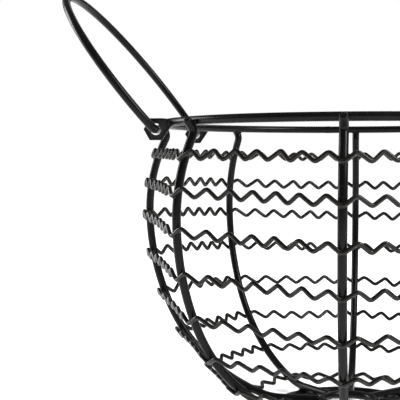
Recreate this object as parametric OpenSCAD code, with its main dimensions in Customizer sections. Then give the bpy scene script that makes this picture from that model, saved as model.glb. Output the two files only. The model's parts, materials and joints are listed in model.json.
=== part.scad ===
// Round produce basket of black-coated steel wire: a rod rim, eight bent rod ribs,
// nine crimped wire rings welded round the outside of the ribs, a rod foot ring,
// a small hub ring that the ribs end on, and two loop handles that swing in flat tabs.
// Millimetres. +Z is up, the foot ring stands on z = 0 and the bowl's axis is the Z axis.
// The handles are at -X and +X and turn about lines parallel to Y.

/* [Rods and wire] */
// Diameter of the rod used for the rim, ribs, foot, hub and handles
rod_d = 6; // [5:0.5:7]
// Diameter of the crimped ring wire
wire_d = 3; // [2.5:0.1:3.5]
// How far two welded wires sink into each other
weld_sink = 0.35; // [0.35:0.05:0.5]

/* [Bowl] */
// Radius of the rim, to the centre of its rod
rim_r = 140; // [130:1:150]
// Bend radius of the neck just under the rim
neck_bend_r = 6; // [5:0.5:7]
// Bend radius of the shoulder, from the neck to the widest place
shoulder_bend_r = 124; // [116:1:132]
// Bend radius of the belly, below the widest place
belly_bend_r = 180; // [170:1:190]
// Bend radius of the lower bowl
bowl_bend_r = 129; // [124:1:134]
// Bend radius where a rib turns flat under the bowl
base_bend_r = 40; // [34:1:46]

/* [Crimped rings] */
// Length of rib from its top end to the first ring
first_ring_drop = 23.3; // [22:0.1:26]
// Length of rib from the first ring to the second
ring_gap = 25.7; // [25:0.1:26.5]
// How much wider each gap is than the one above it
ring_gap_growth = 1.45; // [1.3:0.05:1.6]
// Height of a crimp from the middle of the wire to its crest
crimp_h = 2.7; // [2:0.1:3]
// Target length of one crimp along the ring
crimp_pitch = 18; // [17:0.5:20]
// Turn either side of a rib over which a ring bends round it, in degrees
ring_corner = 2.5; // [1.5:0.5:4]
// Most that a ring rises towards the handle sides
ring_lift = 9; // [0:0.5:10]

/* [Base] */
// Radius of the foot ring, to the centre of its rod
foot_r = 54; // [52:0.5:55]
// Radius of the hub ring, to the centre of its rod
hub_r = 20; // [17:0.5:22]

/* [Handles] */
// Distance of a handle's pivot line from the bowl's axis
pivot_x = 133.5; // [132:0.5:134]
// Drop of the pivot line below the centre of the rim
pivot_drop = 5; // [4:0.5:6]
// Radius of the handle loop, to the centre of its rod
loop_r = 89.5; // [86:0.5:91]
// Height of the loop's centre above the pivot line, along the loop
loop_rise = 43.5; // [42:0.5:46]
// Bend radius where a loop end turns in towards its tab
end_bend_r = 6.1; // [5:0.1:7]
// Lean of the loops away from upright
loop_lean = 38; // [20:1:60]

/* [Handle tabs] */
// Distance of a tab's middle from the bowl's centre plane
tab_y = 71; // [70:0.5:71.5]
// Thickness of a tab
tab_t = 2; // [1.5:0.5:2.5]
// Length of a tab's hexagon, from corner to corner
tab_l = 17.6; // [17:0.2:19]
// Height of a tab
tab_h = 15.4; // [15:0.2:17]
// Diameter of the hole that a handle end turns in
tab_hole_d = 8.2; // [7.6:0.2:9]

/* [Hidden] */

rod_r = rod_d / 2;
wire_r = wire_d / 2;
rib_count = 8;
bay = 360 / rib_count;
rod_sides = 32;
arc_sides = 128;
wire_sides = 5;
steps_per_crimp = 4;
// Two stretches of one rod meet inside a ball that stands this much proud of the rod
seam_ball_r = rod_r + 0.04;
coat = [0.07, 0.065, 0.06];
wire_coat = [0.1, 0.085, 0.075];

// A rib lies in one upright half-plane, drawn as [distance from the axis, height above
// the rim's centre]. Its lean is the angle of its run from straight down, outward positive.
rib_top_lean = -40;
neck_lean = 26.1;
// The straight end of a rib lies against the outside of the rim, and bends just below
rib_touch = [rim_r, 0] + (rod_d - weld_sink) * [cos(rib_top_lean), sin(rib_top_lean)];
rib_top = rib_touch + 0.7 * [sin(rib_top_lean), -cos(rib_top_lean)];
rib_tip = 6.5;
belly_lean = -24.5;
base_lean = -70;
rib_bends = [
    [neck_bend_r, rib_top_lean, neck_lean],
    [shoulder_bend_r, neck_lean, 0],
    [belly_bend_r, 0, belly_lean],
    [bowl_bend_r, belly_lean, base_lean],
    [base_bend_r, base_lean, -90]];
bend_count = len(rib_bends);

function turn_side(bend) = bend[1] > bend[2] ? 1 : -1;
function bend_run(bend) =
    turn_side(bend) * bend[0] * [cos(bend[2]) - cos(bend[1]), sin(bend[2]) - sin(bend[1])];
function bend_length(bend) = bend[0] * abs(bend[2] - bend[1]) * PI / 180;

// Where bend number i begins
function bend_start(i) =
    i == 0
        ? rib_top
        : bend_start(i - 1) + bend_run(rib_bends[i - 1]);

// The lean, and then the place, at a length of rib below the start of bend i
function lean_at(length, i = 0) =
    i == bend_count
        ? -90
        : let (bend = rib_bends[i])
            length <= bend_length(bend)
                ? bend[1] - turn_side(bend) * length / bend[0] * 180 / PI
                : lean_at(length - bend_length(bend), i + 1);
function place_at(length, i = 0) =
    i == bend_count
        ? bend_start(i) - [length, 0]
        : let (bend = rib_bends[i])
            length <= bend_length(bend)
                ? bend_start(i) + bend_run([bend[0], bend[1],
                    bend[1] - turn_side(bend) * length / bend[0] * 180 / PI])
                : place_at(length - bend_length(bend), i + 1);

flat_start = bend_start(bend_count);
rib_end_r = hub_r + rod_r - weld_sink;
rim_z = rod_r + rod_d - weld_sink - flat_start[1];
foot_z = rod_r;
hub_z = rim_z + flat_start[1];
pivot_z = rim_z - pivot_drop;
// Reach of a tab from its hole to its end, inside the rim's rod
tab_ear = pivot_x - sqrt(pow(rim_r, 2) - pow(tab_y, 2)) - rod_r / 2;

// Crimped rings
ring_offset = rod_r + wire_r - weld_sink;
function ring_length(k) = first_ring_drop + k * ring_gap + ring_gap_growth * k * (k - 1) / 2;
function bay_width(k) = 2 * sin(bay / 2) * (place_at(ring_length(k))[0] + ring_offset);
function crimps_per_bay(k) = max(2, round(bay_width(k) / crimp_pitch));
function lift_of(k) = ring_lift * min(1, (k + 1) / 3) * (1 - max(0, k - 2) / 8);
// A ring runs straight from rib to rib. Its turn from the nearest rib is eased near the
// rib, so that it bends round it, and ring_share is its reach there over its reach at a rib.
function from_rib(turn) = abs(turn - round(turn / bay) * bay);
function eased(turn) = norm([turn, ring_corner]) - ring_corner;
function ring_share(turn) =
    cos(bay / 2) / cos(bay / 2 * (1 - eased(from_rib(turn)) / eased(bay / 2)));
// A point of ring k's centre line; turn is measured from -Y, towards +X
function ring_point(k, turn) =
    let (
        along = ring_length(k) - lift_of(k) * pow(sin(turn), 2)
            + crimp_h * cos(crimps_per_bay(k) * rib_count * turn),
        lean = lean_at(along),
        place = place_at(along) + ring_offset * [cos(lean), sin(lean)],
        reach = place[0] * ring_share(turn))
    [reach * sin(turn), -reach * cos(turn), rim_z + place[1]];
function ring_normal(k, turn) =
    let (lean = lean_at(ring_length(k)))
    [cos(lean) * sin(turn), -cos(lean) * cos(turn), sin(lean)];

// A bent stretch of rod in the XZ plane, from one angle to a larger one, round the origin
module rod_bend(bend_r, from, to) {
    rotate([90, 0, 0])
        rotate([0, 0, from])
            rotate_extrude(angle = to - from, $fn = arc_sides)
                translate([bend_r, 0])
                    circle(r = rod_r, $fn = rod_sides);
}

// A straight stretch of rod along +X from the origin
module rod_run(length) {
    rotate([0, 90, 0])
        cylinder(r = rod_r, h = length, $fn = rod_sides);
}

module seam_ball() {
    sphere(r = seam_ball_r, $fn = rod_sides);
}

module rod_ring(ring_r) {
    rotate_extrude($fn = arc_sides)
        translate([ring_r, 0])
            circle(r = rod_r, $fn = rod_sides);
}

module rim() {
    color(coat)
        translate([0, 0, rim_z])
            rod_ring(rim_r);
}

module foot_ring() {
    color(coat)
        translate([0, 0, foot_z])
            rod_ring(foot_r);
}

module hub_ring() {
    color(coat)
        translate([0, 0, hub_z])
            rod_ring(hub_r);
}

// One rib; number 1 stands at +X, under the right-hand handle, and the rest follow round
module rib(number) {
    color(coat)
        rotate([0, 0, (number - 1) * bay])
            translate([0, 0, rim_z]) {
                for (i = [0 : bend_count - 1])
                    rib_stretch(i);
                translate([rib_top[0], 0, rib_top[1]])
                    rotate([0, -90 - rib_top_lean, 0])
                        rod_run(rib_tip);
                for (i = [0 : bend_count])
                    translate([bend_start(i)[0], 0, bend_start(i)[1]])
                        seam_ball();
                translate([rib_end_r, 0, flat_start[1]])
                    rod_run(flat_start[0] - rib_end_r);
            }
}

module rib_stretch(i) {
    bend = rib_bends[i];
    side = turn_side(bend);
    start = bend_start(i);
    centre = start - side * bend[0] * [cos(bend[1]), sin(bend[1])];
    half_turn = side > 0 ? 0 : 180;
    translate([centre[0], 0, centre[1]])
        rod_bend(bend[0], min(bend[1], bend[2]) + half_turn, max(bend[1], bend[2]) + half_turn);
}

// One crimped ring, swept along its wave with a wire_sides-sided section
module wave_ring(number) {
    k = number - 1;
    steps = rib_count * crimps_per_bay(k) * steps_per_crimp;
    step = 360 / steps;
    points = [
        for (i = [0 : steps - 1])
            let (
                turn = i * step,
                ahead = ring_point(k, turn + step) - ring_point(k, turn - step),
                normal = ring_normal(k, turn),
                across = cross(ahead, normal) / norm(cross(ahead, normal)),
                out = cross(across, ahead) / norm(ahead))
            for (j = [0 : wire_sides - 1])
                ring_point(k, turn)
                    + wire_r * (cos(360 * j / wire_sides) * out + sin(360 * j / wire_sides) * across)];
    faces = [
        for (i = [0 : steps - 1], j = [0 : wire_sides - 1])
            let (
                next_i = (i + 1) % steps,
                next_j = (j + 1) % wire_sides)
            for (face = [
                [i * wire_sides + j, next_i * wire_sides + j, next_i * wire_sides + next_j],
                [i * wire_sides + j, next_i * wire_sides + next_j, i * wire_sides + next_j]])
                face];
    color(wire_coat)
        polyhedron(points = points, faces = faces, convexity = 8);
}

// A flat hexagonal plate with an ear that reaches into the rim's rod
module tab(side, end) {
    half_l = tab_l / 2;
    half_h = tab_h / 2;
    color(coat)
        translate([side * pivot_x, end * tab_y + tab_t / 2, pivot_z])
            rotate([90, 0, 0])
                difference() {
                    linear_extrude(tab_t)
                        polygon([
                            [side * half_l, 0], [side * half_l / 2, half_h],
                            [-side * half_l / 2, half_h], [-side * tab_ear, pivot_drop + 2],
                            [-side * tab_ear, pivot_drop - 2.5],
                            [-side * half_l / 2, -half_h], [side * half_l / 2, -half_h]]);
                    translate([0, 0, -1])
                        cylinder(d = tab_hole_d, h = tab_t + 2, $fn = rod_sides);
                }
}

// A rod loop with both ends bent in through the tabs, drawn upright over the pivot line
module handle(side) {
    bend_y = sqrt(pow(loop_r - end_bend_r, 2) - pow(loop_rise - end_bend_r, 2));
    bend_turn = asin((loop_rise - end_bend_r) / (loop_r - end_bend_r));
    inner_end = tab_y - tab_t / 2 - 5;
    color(coat)
        translate([side * pivot_x, 0, pivot_z])
            rotate([0, side * loop_lean, 0])
                rotate([0, 0, 90]) {
                    translate([0, 0, loop_rise])
                        rod_bend(loop_r, -bend_turn, 180 + bend_turn);
                    for (end = [0, 1])
                        mirror([end, 0, 0]) {
                            translate([bend_y, 0, end_bend_r])
                                rod_bend(end_bend_r, -90, -bend_turn);
                            translate([bend_y, 0, end_bend_r])
                                rotate([0, bend_turn, 0])
                                    translate([end_bend_r, 0, 0])
                                        seam_ball();
                            translate([bend_y, 0, 0])
                                seam_ball();
                            translate([inner_end, 0, 0])
                                rod_run(bend_y - inner_end);
                        }
                }
}

rim();
rib(1);  // rib_1
rib(2);  // rib_2
rib(3);  // rib_3
rib(4);  // rib_4
rib(5);  // rib_5
rib(6);  // rib_6
rib(7);  // rib_7
rib(8);  // rib_8
wave_ring(1);  // wave_ring_1
wave_ring(2);  // wave_ring_2
wave_ring(3);  // wave_ring_3
wave_ring(4);  // wave_ring_4
wave_ring(5);  // wave_ring_5
wave_ring(6);  // wave_ring_6
wave_ring(7);  // wave_ring_7
wave_ring(8);  // wave_ring_8
wave_ring(9);  // wave_ring_9
hub_ring();
foot_ring();
tab(-1, -1);  // tab_left_front
tab(-1, 1);  // tab_left_rear
tab(1, -1);  // tab_right_front
tab(1, 1);  // tab_right_rear
handle(-1);  // handle_left
handle(1);  // handle_right
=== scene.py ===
import math
import random

import bmesh
import bpy
import numpy as np
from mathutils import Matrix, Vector
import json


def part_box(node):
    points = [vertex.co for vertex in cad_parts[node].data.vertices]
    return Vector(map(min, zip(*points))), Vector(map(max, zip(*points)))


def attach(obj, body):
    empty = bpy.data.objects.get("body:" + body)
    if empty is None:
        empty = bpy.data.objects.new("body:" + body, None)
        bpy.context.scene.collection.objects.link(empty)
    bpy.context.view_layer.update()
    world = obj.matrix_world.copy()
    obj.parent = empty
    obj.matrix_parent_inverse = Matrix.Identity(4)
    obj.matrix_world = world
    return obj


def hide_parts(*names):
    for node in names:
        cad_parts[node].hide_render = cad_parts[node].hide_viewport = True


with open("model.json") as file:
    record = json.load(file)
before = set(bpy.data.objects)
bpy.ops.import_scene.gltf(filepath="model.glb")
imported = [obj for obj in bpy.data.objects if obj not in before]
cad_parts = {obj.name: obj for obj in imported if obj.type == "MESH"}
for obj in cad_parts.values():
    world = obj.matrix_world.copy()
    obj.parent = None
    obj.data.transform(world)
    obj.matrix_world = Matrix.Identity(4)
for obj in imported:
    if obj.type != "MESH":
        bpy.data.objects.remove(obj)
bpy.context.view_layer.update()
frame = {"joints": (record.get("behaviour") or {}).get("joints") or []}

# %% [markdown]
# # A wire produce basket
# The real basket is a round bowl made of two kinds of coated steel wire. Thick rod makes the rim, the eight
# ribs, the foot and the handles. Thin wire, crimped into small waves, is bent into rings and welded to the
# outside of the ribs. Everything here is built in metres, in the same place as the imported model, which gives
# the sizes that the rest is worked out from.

MM = 0.001

rim_low, rim_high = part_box("rim")
rod_radius = (rim_high[2] - rim_low[2]) / 2
rim_radius = rim_high[0] - rod_radius
rim_height = (rim_high[2] + rim_low[2]) / 2
hub_low, hub_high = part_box("hub_ring")
hub_radius = hub_high[0] - rod_radius
hub_height = (hub_high[2] + hub_low[2]) / 2
foot_low, foot_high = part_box("foot_ring")
foot_radius = foot_high[0] - rod_radius
pivots = {joint["child"]: joint["pos_m"] for joint in frame["joints"]}
print("rim radius", rim_radius, "rim height", rim_height, "rod radius", rod_radius)
print("pivots", pivots)

# %% [markdown]
# ## The line of a rib
# A rib is bent on a jig, so its line is a chain of round bends, each starting where the last one ended and in
# the same direction. Keeping the bends as radius and lean makes the line exact at any length, which is what
# the rings need: each ring is welded at its own length down the rib.

# %% The bends of a rib
# each bend: radius, lean where it starts, lean where it ends; lean is measured outward from straight down
TIP_LEAN = -40
RIB_BENDS = [(6 * MM, TIP_LEAN, 26.1), (124 * MM, 26.1, 0), (180 * MM, 0, -24.5), (129 * MM, -24.5, -70),
             (40 * MM, -70, -90)]
RIB_TIP = 6.5 * MM
WELD_SINK = 0.35 * MM


def lean_across(lean):
    """The direction straight out of a rib that leans by this much, as out and up."""
    return np.array([math.cos(math.radians(lean)), math.sin(math.radians(lean))])


def lean_along(lean):
    """The direction down a rib that leans by this much, as out and up."""
    return np.array([math.sin(math.radians(lean)), -math.cos(math.radians(lean))])


# the straight tip lies against the outside of the rim, and the first bend starts just below
tip_touch = np.array([rim_radius, rim_height]) + (2 * rod_radius - WELD_SINK) * lean_across(TIP_LEAN)
rib_start = tip_touch + 0.7 * MM * lean_along(TIP_LEAN)


def bend_run(radius, start, end):
    """How far a bend moves out and up, from its start to its end."""
    side = 1 if start > end else -1
    first, last = math.radians(start), math.radians(end)
    return side * radius * np.array([math.cos(last) - math.cos(first), math.sin(last) - math.sin(first)])


def rib_place(length):
    """Distance from the axis, height and lean, at a length of rib below the start of its first bend."""
    place = rib_start
    if length < 0:
        return (*(place + length * lean_along(TIP_LEAN)), TIP_LEAN)
    for radius, start, end in RIB_BENDS:
        bend_length = radius * math.radians(abs(end - start))
        if length <= bend_length:
            lean = start + (end - start) * length / bend_length
            place = place + bend_run(radius, start, lean)
            return place[0], place[1], lean
        place = place + bend_run(radius, start, end)
        length -= bend_length
    return place[0] - length, place[1], -90


bent_length = sum(radius * math.radians(abs(end - start)) for radius, start, end in RIB_BENDS)
flat_radius = rib_place(bent_length)[0]
rib_length = bent_length + flat_radius - hub_radius - rod_radius * 0.9
print("a rib is", round(rib_length / MM, 1), "mm long; it turns flat at radius", round(flat_radius / MM, 1), "mm")

# %% [markdown]
# ## Sweeping wire
# Wire of any shape is one round section carried along a line. Blender's curve bevel would do it, but a mesh
# made by hand lets the section swell at a weld, lets cut ends be rounded as a shear leaves them, and lets each
# point carry a value for how far its coating is rubbed. The section is turned as little as possible from one
# step to the next, so that the surface never twists.


# %% A helper that sweeps a round section
def section_axes(line, closed):
    """Tangents and two crossing axes for every point of a line, turned as little as possible."""
    ahead = np.roll(line, -1, axis=0) - np.roll(line, 1, axis=0)
    if not closed:
        ahead[0] = line[1] - line[0]
        ahead[-1] = line[-1] - line[-2]
    ahead /= np.linalg.norm(ahead, axis=1)[:, None]
    first = np.cross(ahead[0], (0.0, 0.0, 1.0))
    if np.linalg.norm(first) < 0.1:
        first = np.cross(ahead[0], (0.0, 1.0, 0.0))
    axes = [first / np.linalg.norm(first)]
    for i in range(1, len(line)):
        axis = axes[-1] - ahead[i] * np.dot(axes[-1], ahead[i])
        axes.append(axis / np.linalg.norm(axis))
    axes = np.array(axes)
    across = np.cross(ahead, axes)
    if closed:
        last = axes[-1] - ahead[0] * np.dot(axes[-1], ahead[0])
        twist = math.atan2(np.dot(last, across[0]), np.dot(last, axes[0]))
        turns = -twist * np.arange(len(line)) / len(line)
        cos, sin = np.cos(turns)[:, None], np.sin(turns)[:, None]
        axes, across = axes * cos + across * sin, across * cos - axes * sin
    return ahead, axes, across


def wire_mesh(name, line, radius, sides=20, closed=False, rubbed=None):
    """A mesh of round wire along line. radius and rubbed are one number or one for each point."""
    line = np.asarray(line, float)
    radius = np.broadcast_to(np.asarray(radius, float), len(line)).copy()
    rubbed = np.broadcast_to(np.asarray(0.0 if rubbed is None else rubbed, float), len(line)).copy()
    if not closed:
        line, radius, rubbed = with_round_ends(line, radius, rubbed)
    ahead, axes, across = section_axes(line, closed)
    turn = np.arange(sides) * 2 * math.pi / sides
    circle = axes[:, None, :] * np.cos(turn)[None, :, None] + across[:, None, :] * np.sin(turn)[None, :, None]
    points = (line[:, None, :] + circle * radius[:, None, None]).reshape(-1, 3)
    count = len(line)
    steps = count if closed else count - 1
    faces = []
    for i in range(steps):
        here, there = i * sides, (i + 1) % count * sides
        faces += [(here + j, here + (j + 1) % sides, there + (j + 1) % sides, there + j) for j in range(sides)]
    if not closed:
        faces.append(tuple(range(sides - 1, -1, -1)))
        faces.append(tuple(range((count - 1) * sides, count * sides)))
    mesh = bpy.data.meshes.new(name)
    mesh.from_pydata(points.tolist(), [], faces)
    mesh.shade_smooth()
    worn = mesh.attributes.new("rubbed", "FLOAT", "POINT")
    worn.data.foreach_set("value", np.repeat(rubbed, sides))
    return mesh


# sections added at a sheared end, each a share of the radius and a depth from the end in radii
ROUNDED_END = ((0.72, 0.0), (0.9, 0.1), (0.98, 0.25))


def with_round_ends(line, radius, rubbed):
    """Adds small steps at both ends, where a sheared end is rounded over."""
    first = (line[1] - line[0]) / np.linalg.norm(line[1] - line[0])
    last = (line[-1] - line[-2]) / np.linalg.norm(line[-1] - line[-2])
    head = [line[0] + first * depth * radius[0] for _, depth in ROUNDED_END]
    tail = [line[-1] - last * depth * radius[-1] for _, depth in reversed(ROUNDED_END)]
    keep_from = line[0] + first * 0.5 * radius[0]
    keep_to = line[-1] - last * 0.5 * radius[-1]
    line = np.vstack([head, keep_from, line[1:-1], keep_to, tail])
    head_radius = [share * radius[0] for share, _ in ROUNDED_END]
    tail_radius = [share * radius[-1] for share, _ in reversed(ROUNDED_END)]
    radius = np.concatenate([head_radius, radius, tail_radius])
    rubbed = np.concatenate([[rubbed[0]] * 3, rubbed, [rubbed[-1]] * 3])
    return line, radius, rubbed


def piece(name, mesh, material, body, slot, *nodes):
    """Puts a mesh in the scene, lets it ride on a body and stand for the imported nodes."""
    made = bpy.data.objects.new(name, mesh)
    bpy.context.scene.collection.objects.link(made)
    mesh.materials.append(material)
    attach(made, body)
    if nodes:
        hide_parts(*nodes)
    return made


# %% [markdown]
# ## Black powder coat
# The rod is coated with black powder that is baked on. It flows while it cures, so it isn't flat: it has a
# very fine ripple like orange peel, a slow waviness, and it is thinner on sharp edges and where metal rubs on
# metal. The colour is near black everywhere, so what the eye reads is the gloss: one noise moves the
# roughness, two more make the ripple, and the rubbed value of each point lets bare steel show.


# %% The coat, for rod and for crimped wire
def coat_material(name, deep, worn_tint, shine, gloss_from, gloss_to, peel, dust):
    """Baked black powder coat. deep and worn_tint are its two colours, shine is how much it reflects,
    peel is the depth of the ripple in metres, and dust is how much of its colour the dust takes over."""
    made = bpy.data.materials.new(name)
    made.use_nodes = True
    nodes, links = made.node_tree.nodes, made.node_tree.links
    shader = nodes["Principled BSDF"]
    shader.inputs["Specular IOR Level"].default_value = shine
    place = nodes.new("ShaderNodeTexCoord")

    def noise(scale, detail, rough):
        node = nodes.new("ShaderNodeTexNoise")
        node.inputs["Scale"].default_value = scale
        node.inputs["Detail"].default_value = detail
        node.inputs["Roughness"].default_value = rough
        links.new(place.outputs["Object"], node.inputs["Vector"])
        return node

    def spread(source, low, high):
        node = nodes.new("ShaderNodeMapRange")
        node.inputs["From Min"].default_value = 0.3
        node.inputs["From Max"].default_value = 0.7
        node.inputs["To Min"].default_value = low
        node.inputs["To Max"].default_value = high
        links.new(source, node.inputs["Value"])
        return node.outputs["Result"]

    def blend(amount, first, second):
        node = nodes.new("ShaderNodeMix")
        node.data_type = "RGBA"
        links.new(amount, node.inputs[0])
        for socket, value in ((node.inputs[6], first), (node.inputs[7], second)):
            if isinstance(value, tuple):
                socket.default_value = (*value, 1)
            else:
                links.new(value, socket)
        return node.outputs[2]

    cloud = noise(60, 4, 0.55)
    speck = noise(900, 3, 0.6)
    shade = blend(spread(cloud.outputs["Fac"], 0, 1), deep, worn_tint)
    dusty = blend(spread(speck.outputs["Fac"], 0, dust), shade, (0.16, 0.15, 0.14))
    rub = nodes.new("ShaderNodeAttribute")
    rub.attribute_name = "rubbed"
    patchy = nodes.new("ShaderNodeMath")
    patchy.operation = "MULTIPLY"
    patchy.use_clamp = True
    links.new(rub.outputs["Fac"], patchy.inputs[0])
    links.new(spread(noise(500, 5, 0.7).outputs["Fac"], 0, 1), patchy.inputs[1])
    links.new(blend(patchy.outputs[0], dusty, (0.34, 0.33, 0.32)), shader.inputs["Base Color"])
    links.new(patchy.outputs[0], shader.inputs["Metallic"])
    links.new(spread(noise(140, 5, 0.6).outputs["Fac"], gloss_from, gloss_to), shader.inputs["Roughness"])
    ripple = nodes.new("ShaderNodeBump")
    ripple.inputs["Strength"].default_value = 0.55
    ripple.inputs["Distance"].default_value = peel
    links.new(noise(1300, 2, 0.5).outputs["Fac"], ripple.inputs["Height"])
    slow = nodes.new("ShaderNodeBump")
    slow.inputs["Strength"].default_value = 0.5
    slow.inputs["Distance"].default_value = peel * 5
    links.new(noise(240, 3, 0.5).outputs["Fac"], slow.inputs["Height"])
    links.new(ripple.outputs["Normal"], slow.inputs["Normal"])
    links.new(slow.outputs["Normal"], shader.inputs["Normal"])
    return made


rod_coat = coat_material("black rod coat", (0.0012, 0.0012, 0.0014), (0.0032, 0.0031, 0.003),
                         0.16, 0.24, 0.36, 0.012 * MM, 0.012)
crimp_coat = coat_material("black crimped wire coat", (0.0022, 0.0018, 0.0014), (0.006, 0.0047, 0.0036),
                           0.3, 0.22, 0.34, 0.02 * MM, 0.03)
weld_coat = coat_material("black coat over welds", (0.0015, 0.0015, 0.0015), (0.004, 0.0037, 0.0034),
                          0.2, 0.3, 0.46, 0.04 * MM, 0.02)
print("three coats:", rod_coat.name, crimp_coat.name, weld_coat.name)

# %% [markdown]
# ## Rim, foot and hub
# The rim is one rod rolled into a ring, and its two ends are butt-welded and ground back, which leaves a
# slight swelling. It is hidden here on the back of the bowl. The hub ring is made the same way. The foot ring
# is too, but its weld is ground flush so that the basket stands flat. A sweep round a circle, with a section
# that can swell a little at the weld, gives all three.


# %% Three rings of rod
def rod_ring_line(radius, height, steps):
    turn = np.arange(steps) * 2 * math.pi / steps
    return np.stack([radius * np.cos(turn), radius * np.sin(turn), np.full(steps, height)], axis=1)


WELD_REACH = 2.2 * MM


def rolled_ring(node, radius, height, weld_turn, steps, swelling):
    """A ring of rod whose butt weld is thicker than the rod by the share swelling; 0 means ground flush."""
    line = rod_ring_line(radius, height, steps)
    turn = np.degrees(np.arange(steps) * 2 * math.pi / steps)
    away = np.abs((turn - weld_turn + 180) % 360 - 180) * math.pi / 180 * radius
    thick = rod_radius * (1 + swelling * np.exp(-((away / WELD_REACH) ** 2)))
    return piece(node + "_rod", wire_mesh(node + "_rod", line, thick, 28, True), rod_coat, "basket", "rod", node)


rolled_ring("rim", rim_radius, rim_height, 100, 720, 0.05)
rolled_ring("foot_ring", foot_radius, rod_radius, 20, 360, 0)
rolled_ring("hub_ring", hub_radius, hub_height, 200, 180, 0.05)

# %% [markdown]
# ## Ribs
# Each rib follows the bent line worked out above, turned to its own place round the bowl. Its top end is
# kinked outward and lies against the outside of the rim. Its lower end stops on the hub ring.

# %% Eight ribs
RIB_COUNT = 8


def out_from_axis(turn):
    """The direction away from the axis; turn is in degrees from the front, towards the right-hand handle."""
    return np.array([math.sin(math.radians(turn)), -math.cos(math.radians(turn)), 0.0])


def on_bowl(turn, length, proud=0.0):
    """A point proud metres outside a rib's line, at a length down it and at any turn round the bowl."""
    reach, height, lean = rib_place(length)
    reach += proud * math.cos(math.radians(lean))
    height += proud * math.sin(math.radians(lean))
    return out_from_axis(turn) * reach + np.array([0, 0, height])


def rib_lengths():
    """Lengths down the rib for its sections: close together in the tight bends, wider in the easy ones."""
    lengths, start = [-RIB_TIP, -RIB_TIP * 0.6, -RIB_TIP * 0.25], 0.0
    for radius, first, last in RIB_BENDS:
        bend_length = radius * math.radians(abs(last - first))
        steps = max(8, round(abs(last - first) / 1.2))
        lengths += [start + bend_length * i / steps for i in range(steps)]
        start += bend_length
    return lengths + list(np.linspace(start, rib_length, 8))


for number in range(1, RIB_COUNT + 1):
    # rib 1 stands at the right-hand handle and the numbers run on towards the back
    turn = 90 + (number - 1) * 360 / RIB_COUNT
    line = [on_bowl(turn, length) for length in rib_lengths()]
    name = f"rib_{number}"
    piece(name + "_rod", wire_mesh(name + "_rod", line, rod_radius, 24), rod_coat, "basket", "rod", name)
print(RIB_COUNT, "ribs, each with", len(rib_lengths()), "sections")

# %% [markdown]
# ## Crimped rings
# The thin wire is pressed between toothed rollers, so its waves are regular, with round crests and straight
# flanks. It is too stiff to follow the bowl's curve, so it runs straight from rib to rib and bends round each
# rib where it is welded, lowest point first. A cosine has flanks that are too curved, so a little of its
# third harmonic is added, which straightens them. The rings are bent by hand, so every crimp is a little off:
# a seeded list of small errors gives each crest its own height and place.

# %% Where the rings sit and how they are crimped
RING_COUNT = 9
WIRE_RADIUS = 1.5 * MM
FIRST_RING = 23.3 * MM
RING_GAP = 25.7 * MM
GAP_GROWTH = 1.45 * MM
CRIMP_HEIGHT = 2.7 * MM
CRIMP_PITCH = 18 * MM
RING_CORNER = 2.5
RING_LIFT = 9 * MM
BAY = 360 / RIB_COUNT
ring_proud = rod_radius + WIRE_RADIUS - WELD_SINK


def ring_length(k):
    """How far down a rib ring k is welded, before its lift."""
    return FIRST_RING + k * RING_GAP + GAP_GROWTH * k * (k - 1) / 2


def crimps_per_bay(k):
    """How many crimps fit between two ribs."""
    bay_width = 2 * math.sin(math.radians(BAY / 2)) * (rib_place(ring_length(k))[0] + ring_proud)
    return max(2, round(bay_width / CRIMP_PITCH))


def ring_lift(k, turn):
    """How much higher up the rib a ring sits towards the handle sides."""
    most = RING_LIFT * min(1, (k + 1) / 3) * (1 - max(0, k - 2) / 8)
    return most * math.sin(math.radians(turn)) ** 2


def eased(turn):
    """A turn away from a rib, held back close to the rib so that the ring bends round it."""
    return math.hypot(turn, RING_CORNER) - RING_CORNER


def ring_share(turn):
    """How far out a ring stands between two ribs, as a share of how far out it stands at a rib."""
    from_rib = abs(turn - round(turn / BAY) * BAY)
    past = math.radians(BAY / 2 * (1 - eased(from_rib) / eased(BAY / 2)))
    return math.cos(math.radians(BAY / 2)) / math.cos(past)


def ring_centre(k, turn, wave):
    place = on_bowl(turn, ring_length(k) - ring_lift(k, turn) + wave, ring_proud)
    share = ring_share(turn)
    return place * np.array([share, share, 1])


def crimp_wave(phase):
    """A wave with round crests and straight flanks, 1 at the start and -1 half a crimp on."""
    return (math.cos(phase) + 0.06 * math.cos(3 * phase)) / 1.06


# %% Nine crimped rings
STEPS_PER_CRIMP = 16


def crimped_line(k, seed):
    """The centre line of ring k, with each crest a little off its place."""
    luck = random.Random(seed)
    waves = crimps_per_bay(k)
    crimps = waves * RIB_COUNT
    heights = [luck.uniform(-0.12, 0.1) for _ in range(crimps)]
    slips = [luck.uniform(-0.3, 0.3) for _ in range(crimps)]
    sways = [luck.uniform(-0.7, 0.7) * MM for _ in range(RIB_COUNT)]
    line = []
    for i in range(crimps * STEPS_PER_CRIMP):
        turn = i * BAY / waves / STEPS_PER_CRIMP
        phase = 2 * math.pi * i / STEPS_PER_CRIMP
        crest = math.sin(phase / 2) ** 2
        crimp = i // STEPS_PER_CRIMP
        wave = crimp_wave(phase + slips[crimp] * crest) * (1 + heights[crimp] * crest)
        sway = sways[int(turn / BAY) % RIB_COUNT] * math.sin(math.pi * turn / BAY) ** 2
        line.append(ring_centre(k, turn, CRIMP_HEIGHT * wave + sway))
    return line


for k in range(RING_COUNT):
    name = f"wave_ring_{k + 1}"
    mesh = wire_mesh(name + "_wire", crimped_line(k, 40 + k), WIRE_RADIUS, 12, True)
    piece(name + "_wire", mesh, crimp_coat, "basket", "crimped_wire", name)
    print(name, "has", crimps_per_bay(k), "crimps in each bay and", len(mesh.vertices), "points")

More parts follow.
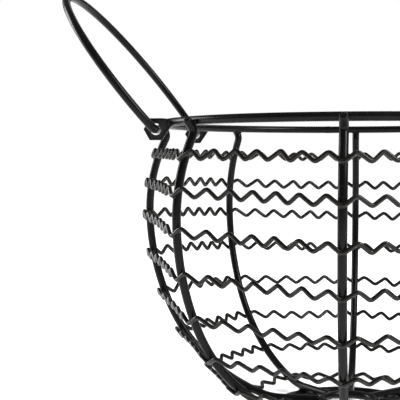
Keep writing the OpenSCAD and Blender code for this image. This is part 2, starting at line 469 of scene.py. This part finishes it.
# %% [markdown]
# ## Welds
# Each ring is spot-welded where it crosses a rib. The wire sinks in a little and pushes up a small collar of
# metal, and the coat runs over it. A bead is a ball flattened against the rod and pushed about by a seeded
# noise, so that no two are alike. All the beads of one ring are one mesh.


# %% A helper for weld beads
def add_bead(builder, centre, long_axis, up_axis, size, luck):
    """Adds a lumpy bead: size is its half-lengths along long_axis, across it, and along up_axis."""
    long_axis = Vector(long_axis).normalized()
    up_axis = Vector(up_axis).normalized()
    side_axis = up_axis.cross(long_axis).normalized()
    lumps = [(luck.uniform(2, 4), luck.uniform(0, 6.28), luck.uniform(0.03, 0.07)) for _ in range(3)]
    made = bmesh.ops.create_icosphere(builder, subdivisions=3, radius=1.0)
    for vertex in made["verts"]:
        x, y, z = vertex.co
        swell = 1 + sum(depth * math.sin(rate * (x + 0.7 * y * n - z) + start)
                        for n, (rate, start, depth) in enumerate(lumps))
        vertex.co = (Vector(centre) + long_axis * x * size[0] * swell + side_axis * y * size[1] * swell
                     + up_axis * z * size[2] * swell)


def bead_piece(name, beads, seed, body="basket"):
    """One mesh of all the beads: each bead is centre, long axis, up axis and size."""
    luck = random.Random(seed)
    builder = bmesh.new()
    for centre, long_axis, up_axis, size in beads:
        add_bead(builder, centre, long_axis, up_axis, size, luck)
    mesh = bpy.data.meshes.new(name)
    builder.to_mesh(mesh)
    builder.free()
    mesh.shade_smooth()
    return piece(name, mesh, weld_coat, body, "rod")


def bowl_normal(turn, length):
    lean = math.radians(rib_place(length)[2])
    return out_from_axis(turn) * math.cos(lean) + np.array([0, 0, math.sin(lean)])


def round_the_bowl(turn):
    return np.array([math.cos(math.radians(turn)), math.sin(math.radians(turn)), 0.0])


# %% Beads where rings cross ribs
for k in range(RING_COUNT):
    beads = []
    for rib in range(RIB_COUNT):
        turn = rib * BAY
        length = ring_length(k) - ring_lift(k, turn) + CRIMP_HEIGHT
        centre = on_bowl(turn, length, rod_radius - 0.1 * MM)
        normal = bowl_normal(turn, length)
        beads.append((centre, round_the_bowl(turn), normal, (2.7 * MM, 1.9 * MM, 0.85 * MM)))
    bead_piece(f"welds_ring_{k + 1}", beads, 70 + k)
print(RING_COUNT * RIB_COUNT, "beads on the crimped rings")

# %% Beads on the rim, the foot and the hub
rim_beads, foot_beads, hub_beads = [], [], []
for rib in range(RIB_COUNT):
    turn = rib * BAY
    around, out = round_the_bowl(turn), out_from_axis(turn)
    rim_centre = out * rim_radius + np.array([0, 0, rim_height])
    slope = lean_across(TIP_LEAN)
    to_rib = out * slope[0] + np.array([0, 0, slope[1]])
    rim_beads.append((rim_centre + to_rib * (rod_radius - 0.1 * MM), around, to_rib,
                      (3.5 * MM, 2.6 * MM, 1.2 * MM)))
    foot_place = out * foot_radius + np.array([0, 0, 2 * rod_radius])
    foot_beads.append((foot_place, around, (0, 0, 1), (3.4 * MM, 3.2 * MM, 0.9 * MM)))
    hub_place = out * (hub_radius + rod_radius * 0.95) + np.array([0, 0, hub_height])
    hub_beads.append((hub_place, around, out, (3.1 * MM, 3.1 * MM, 1.1 * MM)))
bead_piece("welds_rim", rim_beads, 90)
bead_piece("welds_foot", foot_beads, 91)
bead_piece("welds_hub", hub_beads, 92)

# %% [markdown]
# ## Handle tabs
# A tab is a small hexagonal plate with one hole and an ear that is welded to the rim, punched from sheet and
# stood on edge. Punching leaves softly rounded edges, which catch the light, so the plate needs a real bevel.
# A flat curve with a hole in it, given thickness and a bevel, makes exactly that. It becomes a mesh so that
# its points can say how far the coat is rubbed round the hole.

# %% The outline of a tab
TAB_LENGTH = 17.6 * MM
TAB_HEIGHT = 15.4 * MM
HOLE_RADIUS = 4.1 * MM
TAB_EDGE = 0.4 * MM


def tab_outline(ear, ear_height):
    """A hexagon with an ear, as out and up from the hole; the first corner points away from the bowl."""
    long, high = TAB_LENGTH / 2, TAB_HEIGHT / 2
    return [(long, 0), (long / 2, high), (-long / 2, high), (-ear, ear_height + 2 * MM),
            (-ear, ear_height - 2.5 * MM), (-long / 2, -high), (long / 2, -high)]


def pulled_in(corners, depth):
    """The same outline with every side moved in by depth."""
    pulled = []
    for i in range(len(corners)):
        before, here, after = (np.array(corners[j % len(corners)]) for j in (i - 1, i, i + 1))
        first = (here - before) / np.linalg.norm(here - before)
        second = (after - here) / np.linalg.norm(after - here)
        inward = np.array([-first[1], first[0]]) + np.array([-second[1], second[0]])
        pulled.append(here + inward * depth / (1 + np.dot(first, second)))
    return pulled


# %% Four tabs
def tab_mesh(name, pivot, middle, thick):
    """A bevelled plate round a handle's pivot; middle is its place along the pivot line."""
    side = 1 if pivot[0] > 0 else -1
    ear = abs(pivot[0]) - math.sqrt(rim_radius**2 - middle**2) - rod_radius / 2
    hole_steps = 48
    hole = [((HOLE_RADIUS + TAB_EDGE) * math.cos(2 * math.pi * i / hole_steps),
             (HOLE_RADIUS + TAB_EDGE) * math.sin(2 * math.pi * i / hole_steps)) for i in range(hole_steps)]
    plate = bpy.data.curves.new(name, "CURVE")
    plate.dimensions = "2D"
    plate.fill_mode = "BOTH"
    plate.extrude = thick / 2 - TAB_EDGE
    plate.bevel_depth = TAB_EDGE
    plate.bevel_resolution = 3
    for corners in (pulled_in(tab_outline(ear, rim_height - pivot[2]), TAB_EDGE), hole):
        spline = plate.splines.new("POLY")
        spline.points.add(len(corners) - 1)
        for point, (out, up) in zip(spline.points, corners):
            point.co = (side * out, up, 0, 1)
        spline.use_cyclic_u = True
    holder = bpy.data.objects.new(name + "_outline", plate)
    bpy.context.scene.collection.objects.link(holder)
    mesh = bpy.data.meshes.new_from_object(holder.evaluated_get(bpy.context.evaluated_depsgraph_get()))
    bpy.data.objects.remove(holder)
    worn = mesh.attributes.new("rubbed", "FLOAT", "POINT")
    for vertex in mesh.vertices:
        x, z, y = vertex.co
        from_hole = math.hypot(x, z) - HOLE_RADIUS
        worn.data[vertex.index].value = max(0.0, 0.8 - from_hole / (0.6 * MM))
        vertex.co = (pivot[0] + x, middle + y, pivot[2] + z)
    mesh.flip_normals()
    return mesh


for name in ("tab_left_front", "tab_left_rear", "tab_right_front", "tab_right_rear"):
    low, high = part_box(name)
    middle = (low[1] + high[1]) / 2
    pivot = pivots["left_handle" if "left" in name else "right_handle"]
    mesh = tab_mesh(name + "_plate", pivot, middle, high[1] - low[1])
    piece(name + "_plate", mesh, rod_coat, "basket", "rod", name)
    side = 1 if pivot[0] > 0 else -1
    join = np.array([side * (math.sqrt(rim_radius**2 - middle**2) + rod_radius * 1.15), middle, rim_height])
    beads = [(join + np.array([0, offset, 0]), (0, 0, 1), (0, math.copysign(1, offset), 0),
              (2.4 * MM, 1.2 * MM, 0.9 * MM)) for offset in (-0.9 * MM, 0.9 * MM)]
    bead_piece("welds_" + name, beads, 100 + int(middle > 0) + 2 * int(side > 0))
print("tabs are", TAB_LENGTH / MM, "mm long, with holes", round(2 * HOLE_RADIUS / MM, 1), "mm across")

# %% [markdown]
# ## Handles
# A handle is one length of rod bent into an open loop, with both ends turned in through the holes of two tabs
# and left free to swing. The line is a large arc, a tight bend at each end that is tangent to it, and a
# short straight stub. The coat is worn off where a stub turns in its hole.

# %% Two loop handles
LOOP_RADIUS = 89.5 * MM
LOOP_RISE = 43.5 * MM
END_BEND = 6.1 * MM
LOOP_LEAN = 38
end_bend_y = math.sqrt((LOOP_RADIUS - END_BEND) ** 2 - (LOOP_RISE - END_BEND) ** 2)
end_turn = math.asin((LOOP_RISE - END_BEND) / (LOOP_RADIUS - END_BEND))
stub_end = 65 * MM


def loop_line():
    """The loop's line as across and up, from one stub's end to the other."""
    half = [(stub_end + (end_bend_y - stub_end) * i / 8, 0.0) for i in range(8)]
    for i in range(13):
        turn = -math.pi / 2 + (math.pi / 2 - end_turn) * i / 12
        half.append((end_bend_y + END_BEND * math.cos(turn), END_BEND + END_BEND * math.sin(turn)))
    for i in range(1, 61):
        turn = -end_turn + (math.pi / 2 + end_turn) * i / 60
        half.append((LOOP_RADIUS * math.cos(turn), LOOP_RISE + LOOP_RADIUS * math.sin(turn)))
    return half + [(-across, up) for across, up in reversed(half[:-1])]


def handle_mesh(name, body):
    pivot = np.array(pivots[body])
    side = 1 if pivot[0] > 0 else -1
    lean = math.radians(LOOP_LEAN)
    upward = np.array([side * math.sin(lean), 0, math.cos(lean)])
    flat = loop_line()
    line = [pivot + np.array([0, across, 0]) + upward * up for across, up in flat]
    tab_low, tab_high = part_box("tab_left_rear")
    in_hole = (tab_low[1] + tab_high[1]) / 2
    rubbed = [max(0.0, 1.2 - abs(abs(across) - in_hole) / (2.2 * MM)) if up < rod_radius else 0.0
              for across, up in flat]
    return wire_mesh(name, line, rod_radius, 28, False, rubbed)


for name, body in (("handle_left", "left_handle"), ("handle_right", "right_handle")):
    mesh = handle_mesh(name + "_rod", body)
    piece(name + "_rod", mesh, rod_coat, body, "rod", name)
    print(name, "rides on", body, "with", len(mesh.vertices), "points")

# %% [markdown]
# ## Floor, light and camera
# The basket stands on a wide white floor that runs into a white surround. Black gloss only shows its shape
# through what it reflects, so the softboxes stand where a rod should catch a line of light: one to the left,
# one high on the right. A soft light overhead keeps the whole floor white, and is kept out of the
# reflections, because tops of rods stay dark. The surround looks white to the eye but throws little light,
# or the black would turn grey.


# %% A pale floor
def floor_material():
    made = bpy.data.materials.new("pale floor")
    made.use_nodes = True
    nodes, links = made.node_tree.nodes, made.node_tree.links
    shader = nodes["Principled BSDF"]
    shader.inputs["Roughness"].default_value = 0.85
    shader.inputs["Specular IOR Level"].default_value = 0.1
    mottle = nodes.new("ShaderNodeTexNoise")
    mottle.inputs["Scale"].default_value = 3
    tone = nodes.new("ShaderNodeMapRange")
    tone.inputs["To Min"].default_value = 0.9
    tone.inputs["To Max"].default_value = 0.93
    links.new(mottle.outputs["Fac"], tone.inputs["Value"])
    links.new(tone.outputs["Result"], shader.inputs["Base Color"])
    return made


FLOOR_REACH = 30.0
floor_mesh = bpy.data.meshes.new("floor")
corners = [(x * FLOOR_REACH, y * FLOOR_REACH, 0) for x, y in ((-1, -1), (1, -1), (1, 1), (-1, 1))]
floor_mesh.from_pydata(corners, [], [(0, 1, 2, 3)])
floor_mesh.materials.append(floor_material())
floor = bpy.data.objects.new("floor", floor_mesh)
bpy.context.scene.collection.objects.link(floor)


# %% The surround and the softboxes
def surround(seen, thrown):
    world = bpy.data.worlds.new("studio surround")
    bpy.context.scene.world = world
    world.use_nodes = True
    nodes, links = world.node_tree.nodes, world.node_tree.links
    nodes.clear()
    path = nodes.new("ShaderNodeLightPath")
    pick = nodes.new("ShaderNodeMixShader")
    output = nodes.new("ShaderNodeOutputWorld")
    links.new(path.outputs["Is Camera Ray"], pick.inputs["Fac"])
    for socket, strength in ((1, thrown), (2, seen)):
        white = nodes.new("ShaderNodeBackground")
        white.inputs["Color"].default_value = (1, 1, 1, 1)
        white.inputs["Strength"].default_value = strength
        links.new(white.outputs["Background"], pick.inputs[socket])
    links.new(pick.outputs["Shader"], output.inputs["Surface"])


def lamp(name, kind, place, aim):
    light = bpy.data.lights.new(name, kind)
    made = bpy.data.objects.new(name, light)
    bpy.context.scene.collection.objects.link(made)
    made.location = place
    made.rotation_euler = (Vector(aim) - Vector(place)).to_track_quat("-Z", "Y").to_euler()
    return made, light


def softbox(name, place, width, height, power):
    made, light = lamp(name, "AREA", place, (0, 0, rim_height * 0.8))
    light.shape = "RECTANGLE"
    light.size = width
    light.size_y = height
    light.energy = power


surround(1.0, 0.14)
sky, sky_light = lamp("overhead light", "SUN", (0.3, -0.4, 3), (0, 0, 0))
sky_light.energy = 3.6
sky_light.angle = math.radians(40)
sky.visible_glossy = False
softbox("left softbox", (-1.7, 0.5, 0.75), 0.7, 1.0, 22)
softbox("right softbox", (1.2, -0.5, 1.15), 0.45, 0.9, 22)
softbox("back softbox", (0.3, 1.7, 1.3), 1.2, 0.4, 4)
print("lights:", [light.name for light in bpy.data.lights])

# %% [markdown]
# The camera stands a little under the rim, turned left of the bowl's middle, so that the left-hand third of
# the bowl and its handle fill the view. A long lens keeps the rim nearly flat.

# %% The camera
NOMINAL_RIM = 140 * MM
CAMERA_DISTANCE = 5.034 * NOMINAL_RIM
CAMERA_DROP = 0.175 * NOMINAL_RIM
CAMERA_TURN = 1.69
LOOK_LEFT = 9.27
LOOK_DOWN = 2.67
LENS = 83.1
view_camera = bpy.data.cameras.new("view camera")
view_camera.lens = LENS
view_camera.sensor_width = 36
camera = bpy.data.objects.new("view camera", view_camera)
bpy.context.scene.collection.objects.link(camera)
stand = out_from_axis(CAMERA_TURN) * CAMERA_DISTANCE
camera.location = (stand[0], stand[1], rim_height - CAMERA_DROP)
camera.rotation_euler = (math.radians(90 - LOOK_DOWN), 0, math.radians(CAMERA_TURN + LOOK_LEFT))
bpy.context.scene.camera = camera
bpy.context.scene.view_settings.view_transform = "Standard"
print("camera at", tuple(round(c, 3) for c in camera.location))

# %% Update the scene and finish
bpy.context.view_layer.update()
import json
